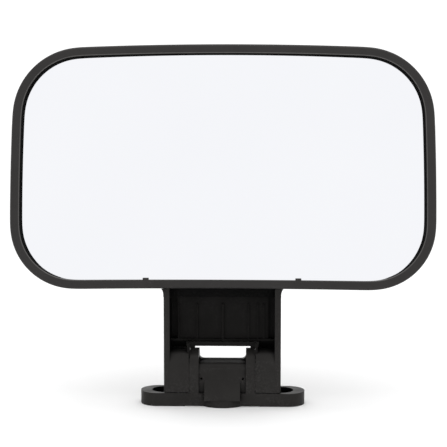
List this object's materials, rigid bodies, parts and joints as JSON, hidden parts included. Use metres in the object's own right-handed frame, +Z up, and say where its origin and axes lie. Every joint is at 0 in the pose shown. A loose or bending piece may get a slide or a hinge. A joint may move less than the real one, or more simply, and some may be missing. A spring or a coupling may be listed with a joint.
{
  "type": "bracket-mounted convex mirror",
  "caption": "Rounded rectangular convex mirror in a black plastic head on a short ribbed arm that tilts back on a two-ear base with bolt holes.",
  "frame": {"origin": "middle of the base's underside, where it sits on what it is bolted to", "axes": "+X to the right of someone who looks into the mirror, along the base's two holes; the mirror faces -Y; +Z up"},
  "size_m": [0.2496, 0.0501, 0.2138],
  "materials": {
    "black_plastic": "fine moulded texture, satin black",
    "rim_plastic": "satin charcoal black",
    "mirror": "first-surface silvered glass, clean",
    "rubber": "matt",
    "foam": "closed-cell foam",
    "zinc_steel": "bright zinc plate",
    "black_steel": "black finish over steel",
    "acetal": "black acetal"
  },
  "bodies": {
    "base": {"base_bracket": "black_plastic", "friction_washer_left": "acetal", "friction_washer_right": "acetal"},
    "head": {"tilt_arm": "black_plastic", "rear_housing": "black_plastic", "front_bezel": "rim_plastic", "glass_carrier": "black_plastic", "pivot_cap_left": "black_plastic", "pivot_cap_right": "black_plastic", "mirror_glass": "mirror", "glass_seal": "rubber", "foam_pad": "foam", "arm_screw_1": "black_steel", "arm_screw_2": "black_steel", "arm_screw_3": "black_steel", "arm_screw_4": "black_steel", "rear_screw_1": "zinc_steel", "rear_screw_2": "zinc_steel", "rear_screw_3": "zinc_steel", "rear_screw_4": "zinc_steel", "rear_screw_5": "zinc_steel", "rear_screw_6": "zinc_steel", "pivot_bolt": "zinc_steel", "lock_nut": "zinc_steel", "spring_washer": "zinc_steel", "flat_washer": "zinc_steel"}
  },
  "joints": [
    {"name": "tilt", "type": "hinge", "parent": "base", "child": "head", "pos_m": [0, 0, 0.023], "axis": [-1, 0, 0], "range_deg": [0, 75]}
  ]
}
